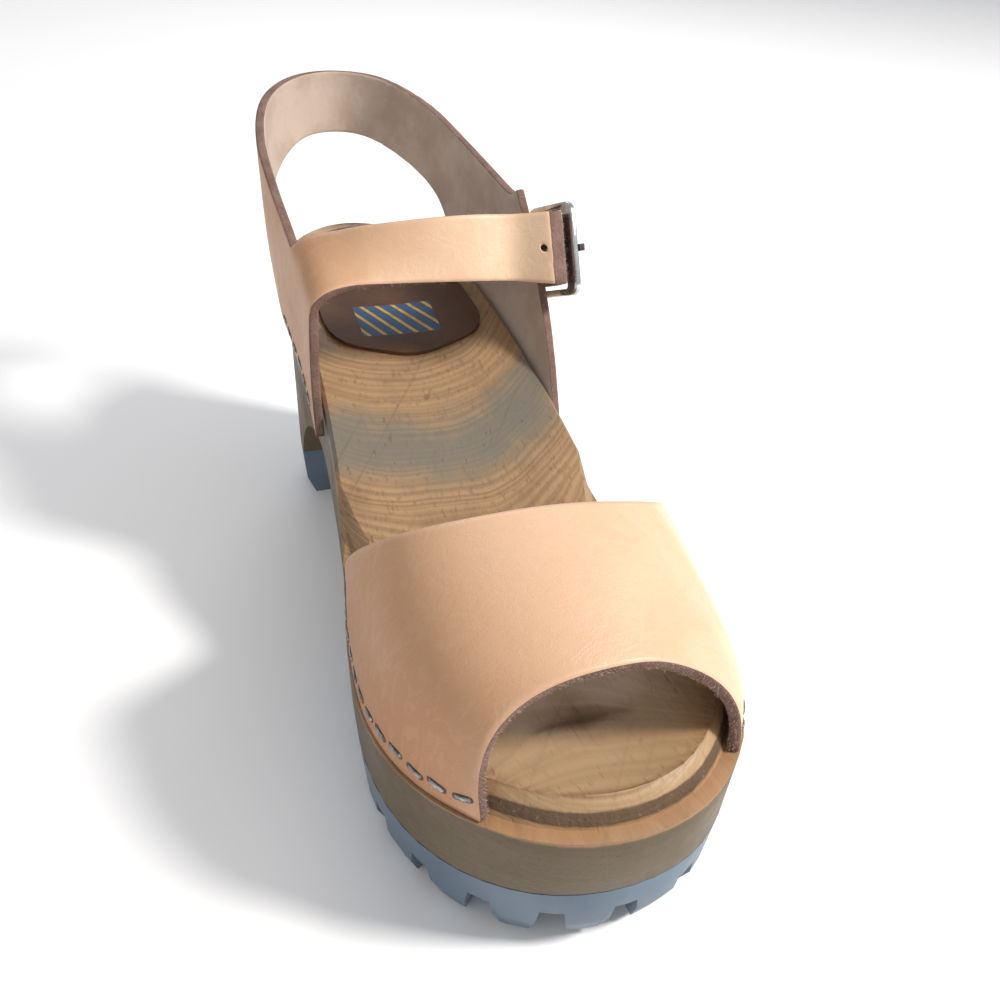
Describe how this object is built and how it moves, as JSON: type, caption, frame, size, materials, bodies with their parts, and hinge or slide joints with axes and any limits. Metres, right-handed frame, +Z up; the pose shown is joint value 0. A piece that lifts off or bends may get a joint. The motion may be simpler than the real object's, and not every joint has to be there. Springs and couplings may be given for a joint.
{
  "type": "open_toe_clog",
  "caption": "Left open-toe platform clog: alder sole with block heel and lugged blue rubber, stapled natural leather vamp, heel strap and buckled instep strap",
  "frame": {"origin": "Under the middle of the shoe's box, on the floor", "axes": "+Z up; toe along -Y; outer (lateral) side of the left foot +X"},
  "size_m": [0.0986, 0.2684, 0.1365],
  "materials": {
    "alder_wood": "sanded, lightly oiled alder",
    "blue_rubber": "moulded, slightly glossy",
    "tooling_leather": "natural vegetable-tanned grain, raw cut edges",
    "brown_leather": "smooth thin lining leather",
    "nickel": "nickel plated, polished"
  },
  "bodies": {
    "root": {"wood_sole": "alder_wood", "outsole_forefoot": "blue_rubber", "outsole_heel": "blue_rubber", "vamp": "tooling_leather", "ankle_piece": "tooling_leather", "heel_pad": "brown_leather", "buckle_frame": "nickel", "buckle_prong": "nickel", "buckle_chape": "tooling_leather", "chape_rivet": "nickel", "strap_keeper": "tooling_leather"}
  },
  "joints": []
}
